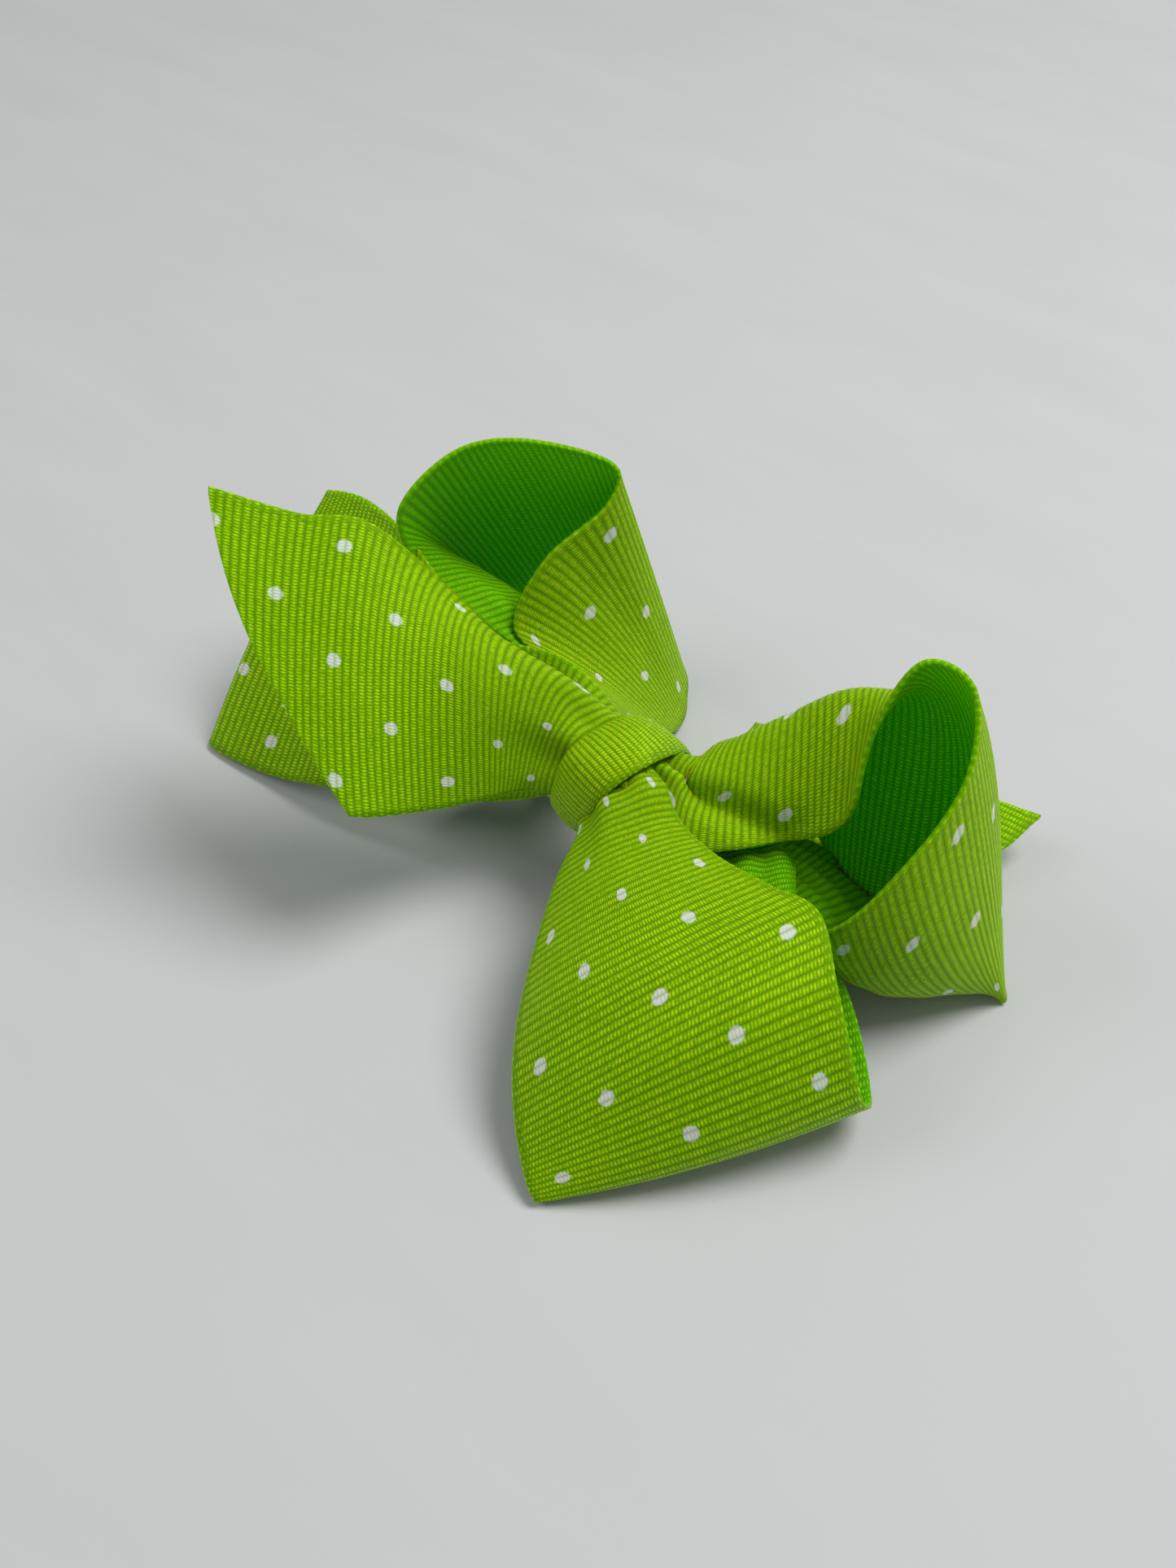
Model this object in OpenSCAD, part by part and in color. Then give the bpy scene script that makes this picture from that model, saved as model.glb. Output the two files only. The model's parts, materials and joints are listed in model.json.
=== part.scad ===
// Boutique hair bow: one length of wide grosgrain folded into two tails and four loops,
// gathered at the middle, tied with thread, wrapped with narrow grosgrain and glued on a
// sprung alligator clip. The bow stands on its loops. X runs along the bow, -Y is its front.

/* [Ribbon] */
// Thickness of the ribbon's plain solids
ribbon_t = 0.8; // [0.6:0.1:1]

/* [Centre wrap] */
// Width of the narrow ribbon round the middle
wrap_w = 9; // [7:0.5:10]
// Thickness of the narrow ribbon's solid
wrap_t = 0.6; // [0.5:0.1:0.8]
// Turn of the wrap about the vertical, in degrees
wrap_turn = -22; // [-26:1:0]

/* [Clip] */
// Length of the clip's front part, from the hinge pin to the jaw tip
jaw_len = 32; // [28:1:34]
// Length of the clip's rear part, from the hinge pin to the end of the lever
lever_len = 12; // [10:0.5:13]
// Width of the clip's upper arm
arm_w = 8; // [7:0.5:9]
// Thickness of the clip's sheet steel
steel_t = 0.5; // [0.4:0.05:0.6]
// Diameter of the hinge pin
pin_d = 1.6; // [1.4:0.1:1.8]

/* [Hidden] */
lime = "#86c400";

// The knot stands over the origin of the lists below; this moves it to the bow's own frame,
// whose origin is at the middle of the bow's box, on the table.
knot_at = [6.3, 0.1, 0];

// Each run of ribbon is a row of stations. A station is three points across the ribbon:
// one woven edge, the middle and the other woven edge.
tail_front_run = [
    [[-6.3, 6.8, 21.5], [-7.4, 0.5, 23], [-7.8, -3.8, 15]],
    [[-12, 5.5, 24.3], [-11, 0, 26], [-10.5, -6, 15]],
    [[-21.5, 2.2, 29], [-17, -4.5, 30], [-12.5, -10.5, 15.5]],
    [[-29, 2, 32.2], [-22.5, -8, 32], [-15, -17, 17]],
    [[-37.5, -3, 41.5], [-28.5, -15.5, 33], [-18.5, -26, 20.3]],
    [[-43.8, -8.8, 43.2], [-35, -20, 33.8], [-25, -30, 22]],
    [[-52, -15.5, 47], [-43, -25.5, 36], [-32, -33.5, 24]]];
loop_front_left_run = [
    [[-7, 8.2, 20], [-7, 2, 20.8], [-7.5, -2.3, 13.6]],
    [[-15, 8, 25], [-14, 2.5, 19], [-13.5, -4.5, 10]],
    [[-27, 4.8, 25.8], [-25, -1.5, 18], [-23, -9, 7]],
    [[-43, 8.5, 30], [-39.5, -3, 17.5], [-36, -14, 4.5]],
    [[-54, 10.5, 30.5], [-51, -2.5, 16.5], [-48, -17, 1.5]],
    [[-60.5, 9.5, 29.3], [-61, -4.5, 15.5], [-60, -18, 0.5]],
    [[-59.5, 13, 25.5], [-60, -0.5, 12.5], [-58, -13.5, 0.5]],
    [[-50, 12.5, 22], [-49.5, 2.5, 11.5], [-48, -7.5, 0.5]],
    [[-37, 11.5, 18.5], [-37, 7, 10.5], [-36, 2.5, 1]],
    [[-23, 13.8, 15], [-23, 12, 11], [-23, 10.8, 6.5]],
    [[-9, 8, 16], [-9, 5.5, 15.6], [-9, 3.2, 15]]];
loop_back_left_run = [
    [[-7.5, 1.5, 18.8], [-7, 6, 18], [-6, 9.3, 15.5]],
    [[-18, 10.5, 18.5], [-12, 14, 15], [-7.5, 15.5, 9.5]],
    [[-27.5, 11.5, 21.5], [-18.5, 18, 14], [-10, 23, 4]],
    [[-27.5, 18, 29], [-20.5, 24.5, 17], [-12, 29, 0.5]],
    [[-24.5, 27, 34.3], [-20.5, 30.5, 19], [-14.5, 33.5, 0.5]],
    [[-26, 29.8, 38.8], [-23.5, 34, 22.5], [-19, 37.5, 3]],
    [[-33.5, 21, 43.5], [-33, 29.5, 26.5], [-29.5, 36, 8]],
    [[-39.5, 14, 42.5], [-41, 23.5, 25.5], [-39, 31.5, 9]],
    [[-42, 6, 36.5], [-44.5, 17.5, 22], [-44, 27, 6]],
    [[-40.5, 7, 27.5], [-38, 17.5, 21.5], [-36, 29, 4]],
    [[-31, 8.5, 22.5], [-28.5, 18.5, 18.5], [-27.5, 28.5, 2]],
    [[-21, 11.5, 17], [-20, 17, 13], [-18.5, 24, 4]],
    [[-9, 9.8, 14.2], [-9, 7.5, 13.4], [-9, 5, 13]]];
loop_front_right_run = [
    [[0.3, -7.1, 14.3], [3.3, -4.3, 20.8], [6.6, 1.2, 22]],
    [[2.5, -13, 14], [7, -8, 19.8], [11, -1, 20]],
    [[7, -22, 13], [13, -14, 20], [18, -3, 20.5]],
    [[11, -29.5, 10], [19, -20, 19.5], [26, -3.5, 21.5]],
    [[15, -35, 7], [24.5, -22.5, 18], [33, -3.5, 22]],
    [[20, -39.5, 3.5], [31, -26, 14.5], [40.2, -9.5, 19]],
    [[24.5, -42, 0.9], [36.5, -28.5, 5.5], [46.5, -12.5, 9.5]],
    [[23, -37.5, 0.8], [35, -23.5, 2], [45.5, -8, 4.5]],
    [[17, -28.5, 3.5], [27.5, -16.5, 6], [37.3, -1.5, 9]],
    [[10, -19, 8], [19.5, -8, 12.5], [27, 2, 14.8]],
    [[4.5, -10, 12.5], [11, -1, 14.5], [21, 7.8, 14.6]],
    [[1.5, -5.6, 14.4], [6.6, -2.2, 15], [9.5, 5, 15]]];
loop_back_right_run = [
    [[7.4, 0.5, 19.6], [7, 5, 22], [6.8, 10, 19.4]],
    [[13.5, -1.5, 17.2], [8.5, 8.5, 22.5], [8, 16, 17.5]],
    [[21, 5.7, 18], [13.5, 16.5, 26.5], [16, 18.5, 12]],
    [[27.5, 9.2, 23], [19.5, 21, 31], [24.5, 16, 5.5]],
    [[27, 13.5, 34.5], [27, 24, 30], [31, 17.5, 2.5]],
    [[29, 18.5, 42.5], [34.5, 25, 27.5], [39.5, 23, 2.5]],
    [[35, 20, 41], [40.5, 21.5, 24], [45, 20.5, 1.8]],
    [[39.5, 13, 35], [44.6, 14.3, 17.5], [49.2, 16.6, 0.6]],
    [[38.5, 3.5, 27.5], [44.2, 7, 10.5], [46.5, 17, 0.6]],
    [[33.5, -2, 18], [37.8, 3.8, 5.5], [38, 18.5, 0.9]],
    [[24, -3.5, 13], [26, 5.5, 11.3], [27, 20, 3.2]],
    [[14, -3.5, 12.4], [16.5, 4, 13.4], [18.5, 15, 9.6]],
    [[8, -2.5, 13.1], [8, 3, 13.1], [8, 7.5, 13.1]]];
tail_back_run = [
    [[8, 1.5, 16.3], [8, 5, 17], [7.8, 9.4, 16.6]],
    [[14, 11, 8.5], [10, 12.5, 12.5], [5, 14.5, 14.2]],
    [[23, 22, 3.5], [13, 20, 9.5], [3, 20, 12]],
    [[36, 32, 4.5], [17.5, 29, 8.5], [2, 26.5, 10]],
    [[38.6, 42, 6], [19.5, 38.5, 7], [-1.5, 36, 7.5]]];

function mix(a, b, f) = a + (b - a) * f;
function unit(v) = v / norm(v);

// A smooth curve through one column of a run, at station number t.
function curve_point(run, column, t) =
    let (last = len(run) - 1, i = min(floor(t), last - 1), f = t - i,
         b = run[i][column], c = run[i + 1][column],
         a = i > 0 ? run[i - 1][column] : 2 * b - c,
         d = i < last - 1 ? run[i + 2][column] : 2 * c - b)
    0.5 * (2 * b + (c - a) * f + (2 * a - 5 * b + 4 * c - d) * f * f
           + (3 * b - a - 3 * c + d) * f * f * f);

// The point at station number t and fraction v across the ribbon.
function ribbon_point(run, t, v) =
    curve_point(run, 0, t) * (1 - v) * (1 - 2 * v) + curve_point(run, 1, t) * 4 * v * (1 - v)
    + curve_point(run, 2, t) * v * (2 * v - 1);

function ribbon_normal(run, t, v) =
    let (e = 0.02, t0 = max(t - e, 0), t1 = min(t + e, len(run) - 1),
         v0 = max(v - e, 0), v1 = min(v + e, 1))
    unit(cross(ribbon_point(run, t1, v) - ribbon_point(run, t0, v),
               ribbon_point(run, t, v1) - ribbon_point(run, t, v0)));

// A closed strip of ribbon. The last cut slants: it ends at the last station on the first
// edge, and slant stations earlier on the other edge.
module ribbon_strip(run, slant = 0, steps = 4, across = 5) {
    rows = (len(run) - 1) * steps + 1;
    end = len(run) - 1;
    points = [for (side = [1, -1], r = [0:rows - 1], k = [0:across - 1])
        let (v = k / (across - 1), t = (end - slant * v) * r / (rows - 1))
        ribbon_point(run, t, v) + side * ribbon_normal(run, t, v) * ribbon_t / 2];
    half = rows * across;
    faces = concat(
        [for (r = [0:rows - 2], k = [0:across - 2], h = [0, 1])
            let (a = r * across + k, b = a + across)
            h == 0 ? [a, b + 1, b] : [a, a + 1, b + 1]],
        [for (r = [0:rows - 2], k = [0:across - 2], h = [0, 1])
            let (a = half + r * across + k, b = a + across)
            h == 0 ? [a, b, b + 1] : [a, b + 1, a + 1]],
        [for (r = [0:rows - 2], e = [0, 1], h = [0, 1])
            let (a = r * across + e * (across - 1), b = a + across, c = a + half, d = b + half)
            e == 0 ? (h == 0 ? [a, b, d] : [a, d, c]) : (h == 0 ? [a, d, b] : [a, c, d])],
        [for (k = [0:across - 2], e = [0, 1], h = [0, 1])
            let (a = e * (rows - 1) * across + k, b = a + 1, c = a + half, d = b + half)
            e == 0 ? (h == 0 ? [a, d, b] : [a, c, d]) : (h == 0 ? [a, b, d] : [a, d, c])]);
    polyhedron(points, faces, convexity = 8);
}

module at_knot() { translate(knot_at) children(); }

module tail_front() { color(lime) at_knot() ribbon_strip(tail_front_run, slant = 1); }
module loop_front_left() { color(lime) at_knot() ribbon_strip(loop_front_left_run); }
module loop_back_left() { color(lime) at_knot() ribbon_strip(loop_back_left_run); }
module loop_front_right() { color(lime) at_knot() ribbon_strip(loop_front_right_run); }
module loop_back_right() { color(lime) at_knot() ribbon_strip(loop_back_right_run); }
module tail_back() { color(lime) at_knot() ribbon_strip(tail_back_run, slant = 1); }

// The gathered middle: the ribbon's pleats pressed together inside the wrap.
middle_y = 2.5;
middle_z = 17.8;
middle_half = [5.6, 4.6];
middle_len = 7.5;
pleats = 10;
pleat_groove_d = 0.7;

module in_wrap_frame() {
    at_knot() translate([0, middle_y, middle_z]) rotate([0, 0, wrap_turn]) children();
}

// An upright oval, squarer than an ellipse, whose half sizes are given.
function oval(half, count, power = 0.8) = [for (k = [0:count - 1])
    let (a = 360 * k / count, c = cos(a), s = sin(a))
    [half[0] * sign(c) * pow(abs(c), power), half[1] * sign(s) * pow(abs(s), power)]];

module lying_oval(half, length) {
    rotate([90, 0, 90]) linear_extrude(length, center = true) polygon(oval(half, 48));
}

module gathered_middle() {
    color(lime) in_wrap_frame() difference() {
        lying_oval(middle_half, middle_len);
        for (k = [0:pleats - 1]) {
            a = 360 * (k + 0.5) / pleats;
            translate([0, middle_half[0] * cos(a), middle_half[1] * sin(a)]) rotate([0, 90, 0])
                cylinder(d = pleat_groove_d, h = middle_len + 1, center = true, $fn = 24);
        }
    }
}

// Thread wound round the gathered middle, with its knot at the back.
thread_d = 0.5;
thread_turns = 4;
thread_pitch = 0.6;
module thread_turn(half) {
    count = 32;
    sides = 6;
    ring = oval(half, count);
    points = [for (k = [0:count - 1], j = [0:sides - 1])
        let (a = 360 * j / sides, p = ring[k], out = unit(p))
        [sin(a) * thread_d / 2, p[0] + out[0] * cos(a) * thread_d / 2,
         p[1] + out[1] * cos(a) * thread_d / 2]];
    faces = [for (k = [0:count - 1], j = [0:sides - 1])
        let (k2 = (k + 1) % count, j2 = (j + 1) % sides)
        [k * sides + j, k * sides + j2, k2 * sides + j2, k2 * sides + j]];
    polyhedron(points, faces, convexity = 4);
}

thread_gap = 0.05;
thread_half = middle_half + [1, 1] * (thread_d / 2 + thread_gap);
module binding_thread() {
    color("white") in_wrap_frame() for (k = [0:thread_turns - 1])
        translate([(k - (thread_turns - 1) / 2) * thread_pitch, 0, 0]) thread_turn(thread_half);
}

knot_d = 0.6;
module thread_knot() {
    color("white") in_wrap_frame() translate([1.5, thread_half[0] + thread_gap, 0])
        sphere(d = knot_d, $fn = 24);
}

// The narrow ribbon goes round the gathered middle and the clip's upper arm. Its inside is
// the middle's outline with a flat floor under the arm.
wrap_gap = 1;
wrap_inner = middle_half + [1, 1] * wrap_gap;
wrap_floor = 11.2;
wrap_floor_w = 11.6;
wrap_side_h = 1.6;
module wrap_solid(grow, length) {
    hull() {
        lying_oval(wrap_inner + [grow, grow], length);
        translate([0, pin_at[1] - middle_y, wrap_floor + wrap_side_h / 2 - middle_z])
            cube([length, wrap_floor_w + 2 * grow, wrap_side_h + 2 * grow], center = true);
    }
}

module centre_wrap() {
    color(lime) in_wrap_frame() difference() {
        wrap_solid(wrap_t, wrap_w);
        wrap_solid(0, wrap_w + 1);
    }
}

// The clip, in a frame with its hinge pin at the origin and its jaw towards -X.
pin_at = [8.8, 2, 9.6];
arm_top = 2.6;
arm_under = arm_top - steel_t;
arms_apart = 0.4;
lower_w = arm_w - 2 * (steel_t + arms_apart);
pin_clear = 0.05;
ear_r = 2.1;
cheek_r = 1.8;
cheek_half = 4.2;
jaw_start = 3;
jaw_rise = 3.2;
lever_fall = 6;
lever_end = lever_len - 1;

module in_clip_frame() { at_knot() translate(pin_at) children(); }

module across_clip(d, h) {
    rotate([90, 0, 0]) cylinder(d = d, h = h, center = true, $fn = 48);
}

// A flat strip of sheet along X from x0 to x1, with a round end at one or both ends.
module strip(x0, x1, width, thick, round_start = true, round_end = true) {
    r = width / 2;
    linear_extrude(thick) {
        if (round_start) translate([x0 + r, 0]) circle(r = r, $fn = 48);
        if (round_end) translate([x1 - r, 0]) circle(r = r, $fn = 48);
        a = x0 + (round_start ? r : 0);
        translate([a, -r]) square([x1 - (round_end ? r : 0) - a, width]);
    }
}

// The upper arm is a flat strip with round ends and two ears that hold the pin.
module clip_upper_arm() {
    color("silver") in_clip_frame() difference() {
        union() {
            translate([0, 0, arm_under]) strip(-jaw_len, lever_len, arm_w, steel_t);
            for (s = [-1, 1]) translate([0, s * (arm_w - steel_t) / 2, 0]) {
                across_clip(2 * ear_r, steel_t);
                translate([-ear_r, -steel_t / 2, 0]) cube([2 * ear_r, steel_t, arm_top]);
            }
        }
        across_clip(pin_d, arm_w + 1);
    }
}

// The lower arm's jaw rises to meet the upper arm at its tip; its lever falls away behind
// the pin, and two cheeks join them.
module clip_lower_arm() {
    color("silver") in_clip_frame() difference() {
        union() {
            rotate([0, jaw_rise, 0]) translate([0, 0, -steel_t])
                strip(0.5 - jaw_len, -jaw_start, lower_w, steel_t, round_end = false);
            rotate([0, lever_fall, 0]) translate([0, 0, -cheek_r])
                strip(jaw_start, lever_end, lower_w, steel_t, round_start = false);
            for (s = [-1, 1]) translate([0, s * (lower_w - steel_t - 0.1) / 2, 0]) {
                across_clip(2 * cheek_r, steel_t);
                translate([-cheek_half, -steel_t / 2, -cheek_r])
                    cube([2 * cheek_half, steel_t, cheek_r + 0.1]);
            }
        }
        across_clip(pin_d + 2 * pin_clear, arm_w + 1);
    }
}

// The pin is riveted over at both ears.
module clip_hinge_pin() {
    head_h = 0.4;
    head_d = pin_d + 0.8;
    color("silver") in_clip_frame() {
        across_clip(pin_d, arm_w + head_h);
        for (s = [-1, 1]) translate([0, s * (arm_w + head_h) / 2, 0]) across_clip(head_d, head_h);
    }
}

// The spring's coils sit loosely round the pin and one leg presses the upper arm's lever.
spring_wire = 0.5;
spring_turns = 5;
spring_r = 1.2;
spring_leg = 6.5;
module clip_spring() {
    color("gray") in_clip_frame() {
        for (k = [0:spring_turns - 1])
            translate([0, (k - (spring_turns - 1) / 2) * spring_wire, 0]) rotate([90, 0, 0])
                rotate_extrude($fn = 48) translate([spring_r, 0]) circle(d = spring_wire + 0.02, $fn = 16);
        translate([0, (spring_turns - 1) / 2 * spring_wire, spring_r]) rotate([0, 85, 0])
            cylinder(d = spring_wire, h = spring_leg, $fn = 16);
    }
}

// A strip of narrow ribbon is glued along the underside of the lower arm's jaw.
lining_t = 0.4;
lining_from_pin = 6;
module clip_lining() {
    color(lime) in_clip_frame() rotate([0, jaw_rise, 0]) translate([0, 0, -steel_t - lining_t])
        strip(1.2 - jaw_len, -lining_from_pin, lower_w - 0.6, lining_t, round_end = false);
}

// Hot glue holds the gathered middle on the upper arm, and the wrap's end under it.
glue_w = 5;
module clip_glue() {
    top = middle_z - thread_half[1] - thread_d / 2;
    base = pin_at[2] + arm_top;
    color("ivory") at_knot() translate([0, pin_at[1], base])
        linear_extrude(top - base) square([glue_w, glue_w], center = true);
}

module wrap_glue() {
    top = pin_at[2] + arm_under;
    color("ivory") at_knot() translate([0, pin_at[1], wrap_floor])
        linear_extrude(top - wrap_floor) square([glue_w, glue_w - 1], center = true);
}

tail_front();
loop_front_left();
loop_back_left();
loop_front_right();
loop_back_right();
tail_back();
gathered_middle();
binding_thread();
thread_knot();
centre_wrap();
wrap_glue();
clip_glue();
clip_upper_arm();
clip_lower_arm();
clip_hinge_pin();
clip_spring();
clip_lining();
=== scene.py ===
import json
import math
import bpy
import numpy as np
from mathutils import Matrix, Vector


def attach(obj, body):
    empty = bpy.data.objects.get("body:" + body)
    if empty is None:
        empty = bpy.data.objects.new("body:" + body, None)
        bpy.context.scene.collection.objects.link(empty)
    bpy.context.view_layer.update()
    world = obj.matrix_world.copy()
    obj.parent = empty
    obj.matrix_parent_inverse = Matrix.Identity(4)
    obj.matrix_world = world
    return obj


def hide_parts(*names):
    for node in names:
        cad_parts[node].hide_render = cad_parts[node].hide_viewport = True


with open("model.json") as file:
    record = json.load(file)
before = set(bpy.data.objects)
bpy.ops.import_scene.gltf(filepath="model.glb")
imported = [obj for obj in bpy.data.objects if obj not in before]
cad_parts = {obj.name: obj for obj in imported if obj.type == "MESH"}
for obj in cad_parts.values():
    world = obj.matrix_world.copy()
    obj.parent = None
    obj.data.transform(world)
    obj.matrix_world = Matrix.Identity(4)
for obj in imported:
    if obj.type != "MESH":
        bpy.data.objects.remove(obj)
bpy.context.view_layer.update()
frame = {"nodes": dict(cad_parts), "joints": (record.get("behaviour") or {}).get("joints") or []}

MM = 0.001

# The station lists measure in millimetres from the point on the table under the knot. The
# clip's hinge pin stands at PIN_FROM_KNOT there, which gives the knot's place in the frame.
PIN_FROM_KNOT = Vector((8.8, 2.0, 9.6))
hinge = Vector(next(j for j in frame["joints"] if j["name"] == "clip_jaw")["pos_m"]) / MM
KNOT = hinge - PIN_FROM_KNOT

# The wide ribbon is a woven grosgrain: round ribs across its width, a plain selvedge with a
# thicker cord along each edge, and picots where the ribs' threads stand out of the edge.
RIBBON_W = 38.0
RIBBON_T = 0.45
RIB_PITCH = 0.99
RIB_RELIEF = 0.11
RIB_POWER = 0.7
SELVEDGE_W = 1.2
CORD_W = 0.8
CORD_RELIEF = 0.10
PICOT_OUT = 0.08
PICOT_DIP = 0.3

# The mesh has ROWS_PER_RIB rows to a rib and ACROSS steps over the width. Lengths are
# measured on a finer grid of rows and a coarser one of columns.
ROWS_PER_RIB = 4
ACROSS = 44
MEASURE_ROWS = 1200
MEASURE_COLUMNS = 9

# A tail's cut end slants and bows a little, by a share of the slant. The mesh's rows run
# together there and are welded.
CUT_CURVE = -0.18
WELD_MM = 0.02

# The ribbon is gathered into pleats where the thread holds it: high inside the wrap, soft
# where a run leaves it in front, and high again under the bow where a loop comes back.
LEAST_PLEAT = 0.001
TUCK_PLEAT = 0.3
TUCK_LEN = 3.5
START_WAVES = 2.5
START_LEN = 11
HIDDEN_WAVES = 6
HIDDEN_LEN = 24

# The back right loop leaves the wrap with a crease: where it starts and where it reaches the
# edge (millimetres along and fraction across), how deep it is and half its width.
CREASE_FROM = (3, 0.5)
CREASE_TO = (20, 0.02)
CREASE_DEPTH = 2.2
CREASE_HALF_W = 2.8

# The white dots are printed on the outer face in a staggered lattice. Their ink ends a little
# raggedly, and covers the crests of the ribs better than the grooves.
DOT_D = 1.98
DOT_STEP = 14.9
DOT_ROWS = 5
DOT_RAGGED = 0.35
DOT_SHRINK = 0.17
DOT_SHARPNESS = 4.5
INK = (0.74, 0.82, 0.72)
INK_IN_GROOVE = 0.45
INK_ON_CREST = 0.5

# The narrow ribbon of the wrap has finer ribs, and its edges turn in a little.
WRAP_W = 10.0
WRAP_T = 0.42
WRAP_PITCH = 0.76
WRAP_RELIEF = 0.15
WRAP_PICOT = 0.06
WRAP_ACROSS = 20
WRAP_OUTER = -1
TURN_IN = 0.35
TURN_IN_W = 0.7

# The gathered middle is the wide ribbon inside the wrap, folded round into a bundle of
# pleats: its place, half sizes and length, its pleats, and its angles in degrees.
MIDDLE_AT = (0.0, 2.5, 17.8)
MIDDLE_HALF = (4.9, 3.9)
MIDDLE_LEN = 10.2
MIDDLE_PLEAT = 0.45
MIDDLE_PLEATS = 9
MIDDLE_ACROSS = 120
MIDDLE_TURN = -22
MIDDLE_FROM = -80
MIDDLE_ROUND = 345

# The cloth's colours: its threads lit and in painted shade (the shaded colour is also the dark
# end of their random unevenness), a painted highlight where a thread catches the light, and a
# painted green tint on the inner face that stands for light coming through the ribbon.
LIME_LIGHT = (0.262, 0.52, 0.001)
LIME_DARK = (0.08, 0.22, 0.0005)
LIME_PAINTED_GLINT = (0.68, 0.92, 0.02)
WRAP_LIGHT = (0.32, 0.61, 0.001)
WRAP_DARK = (0.07, 0.2, 0.0005)
INNER_PAINTED_LIGHT = (0.5, 1, 0.5)
INNER_PAINTED_LIGHT_SHARE = 0.85

# How much each feature of the weave lightens the cloth, and how much is taken off the sum. The
# rib crests and their warp threads are painted lit and the grooves in painted shade. Speckle is
# fine and cloud is broad unevenness. The selvedges have their own plain tone.
CREST_PAINTED_LIGHT = 0.42
DASH_PAINTED_LIGHT = 0.5
SPECKLE_TONE = 0.6
CLOUD_TONE = 0.25
TONE_OFF = 0.32
SELVEDGE_TONE = 0.1
CREST_POWER = 0.6
WARP_PITCH = 0.42
SELVEDGE_SHARPNESS = 3.0

# A glint is a painted highlight: a warp thread on a rib's crest that catches the light, mixed
# into the base colour. The speckle thins them out.
GLINT = 0.75
GLINT_POWER = 4.0
GLINT_SPREAD = 3.4
GLINT_OFF = 1.1

# How cloth shines and lets light through. The keys are the shader's own inputs.
CLOTH = {
    "Sheen Weight": 0.05,
    "Sheen Roughness": 0.4,
    "Sheen Tint": (0.75, 1.0, 0.02, 1),
    "Specular Tint": (0.8, 1.0, 0.02, 1),
    "Subsurface Weight": 0.75,
    "Subsurface Radius": (0.35, 1.0, 0.05),
    "Subsurface Scale": 0.002}

# ---------------------------------------------------------------- stations, in millimetres
# Each station is three points across the ribbon: one edge, the middle, the other edge.
TAIL_FRONT = [
    [[-6.3, 6.8, 21.5], [-7.4, 0.5, 23], [-7.8, -3.8, 15]],
    [[-12, 5.5, 24.3], [-11, 0, 26], [-10.5, -6, 15]],
    [[-21.5, 2.2, 29], [-17, -4.5, 30], [-12.5, -10.5, 15.5]],
    [[-29, 2, 32.2], [-22.5, -8, 32], [-15, -17, 17]],
    [[-37.5, -3, 41.5], [-28.5, -15.5, 33], [-18.5, -26, 20.3]],
    [[-43.8, -8.8, 43.2], [-35, -20, 33.8], [-25, -30, 22]],
    [[-52, -15.5, 47], [-43, -25.5, 36], [-32, -33.5, 24]]]
LOOP_FRONT_LEFT = [
    [[-7, 8.2, 20], [-7, 2, 20.8], [-7.5, -2.3, 13.6]],
    [[-15, 8, 25], [-14, 2.5, 19], [-13.5, -4.5, 10]],
    [[-27, 4.8, 25.8], [-25, -1.5, 18], [-23, -9, 7]],
    [[-43, 8.5, 30], [-39.5, -3, 17.5], [-36, -14, 4.5]],
    [[-54, 10.5, 30.5], [-51, -2.5, 16.5], [-48, -17, 1.5]],
    [[-60.5, 9.5, 29.3], [-61, -4.5, 15.5], [-60, -18, 0.5]],
    [[-59.5, 13, 25.5], [-60, -0.5, 12.5], [-58, -13.5, 0.5]],
    [[-50, 12.5, 22], [-49.5, 2.5, 11.5], [-48, -7.5, 0.5]],
    [[-37, 11.5, 18.5], [-37, 7, 10.5], [-36, 2.5, 1]],
    [[-23, 13.8, 15], [-23, 12, 11], [-23, 10.8, 6.5]],
    [[-9, 8, 16], [-9, 5.5, 15.6], [-9, 3.2, 15]]]
LOOP_BACK_LEFT = [
    [[-7.5, 1.5, 18.8], [-7, 6, 18], [-6, 9.3, 15.5]],
    [[-18, 10.5, 18.5], [-12, 14, 15], [-7.5, 15.5, 9.5]],
    [[-27.5, 11.5, 21.5], [-18.5, 18, 14], [-10, 23, 4]],
    [[-27.5, 18, 29], [-20.5, 24.5, 17], [-12, 29, 0.5]],
    [[-24.5, 27, 34.3], [-20.5, 30.5, 19], [-14.5, 33.5, 0.5]],
    [[-26, 29.8, 38.8], [-23.5, 34, 22.5], [-19, 37.5, 3]],
    [[-33.5, 21, 43.5], [-33, 29.5, 26.5], [-29.5, 36, 8]],
    [[-39.5, 14, 42.5], [-41, 23.5, 25.5], [-39, 31.5, 9]],
    [[-42, 6, 36.5], [-44.5, 17.5, 22], [-44, 27, 6]],
    [[-40.5, 7, 27.5], [-38, 17.5, 21.5], [-36, 29, 4]],
    [[-31, 8.5, 22.5], [-28.5, 18.5, 18.5], [-27.5, 28.5, 2]],
    [[-21, 11.5, 17], [-20, 17, 13], [-18.5, 24, 4]],
    [[-9, 9.8, 14.2], [-9, 7.5, 13.4], [-9, 5, 13]]]
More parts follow.
